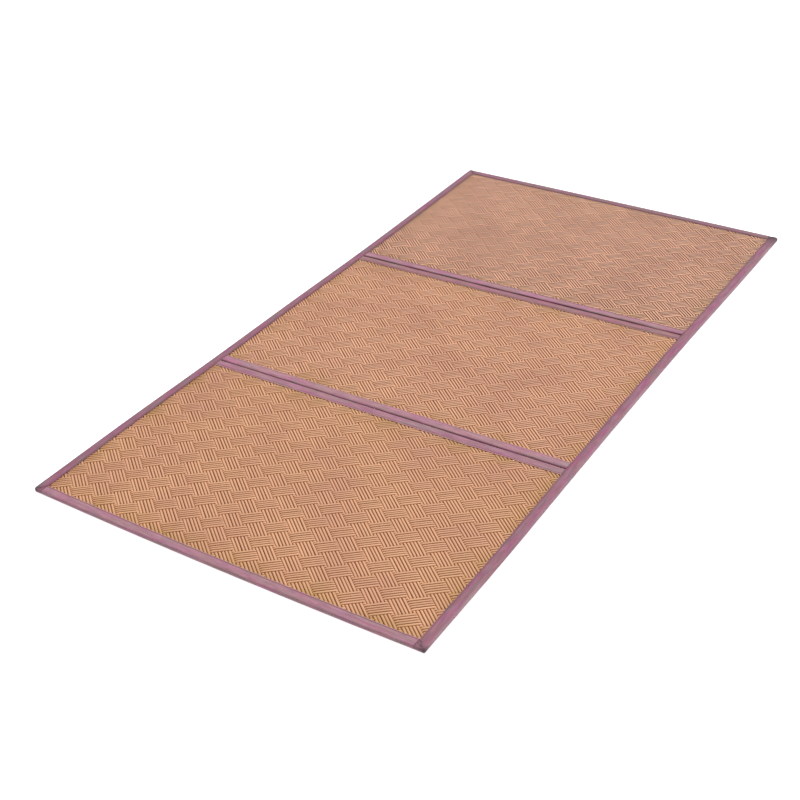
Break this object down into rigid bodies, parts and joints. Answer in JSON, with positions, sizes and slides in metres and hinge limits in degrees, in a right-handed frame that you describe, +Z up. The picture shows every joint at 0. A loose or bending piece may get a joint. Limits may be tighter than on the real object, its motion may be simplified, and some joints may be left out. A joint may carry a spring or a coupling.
{
  "type": "folding woven tatami mat",
  "caption": "Flat woven floor mat laid out open, in equal panels that fold over each other, bound all round and at the folds with cloth tape.",
  "frame": {"origin": "middle of the mat's footprint, on its underside", "axes": "+Y along the length from the front end to the back end, +X across the width, +Z up out of the woven face"},
  "size_m": [1.0092, 1.906, 0.009],
  "materials": {
    "weave": "woven plant-fibre strands, tan, satin",
    "tape": "matt mauve cotton tape"
  },
  "bodies": {
    "root": {"panel_front": "weave", "panel_middle": "weave", "panel_back": "weave", "tape_front": "tape", "tape_back": "tape", "fold_tape_1_near": "tape", "fold_tape_1_far": "tape", "fold_tape_2_near": "tape", "fold_tape_2_far": "tape", "side_tape_left": "tape", "side_tape_right": "tape"}
  },
  "joints": []
}
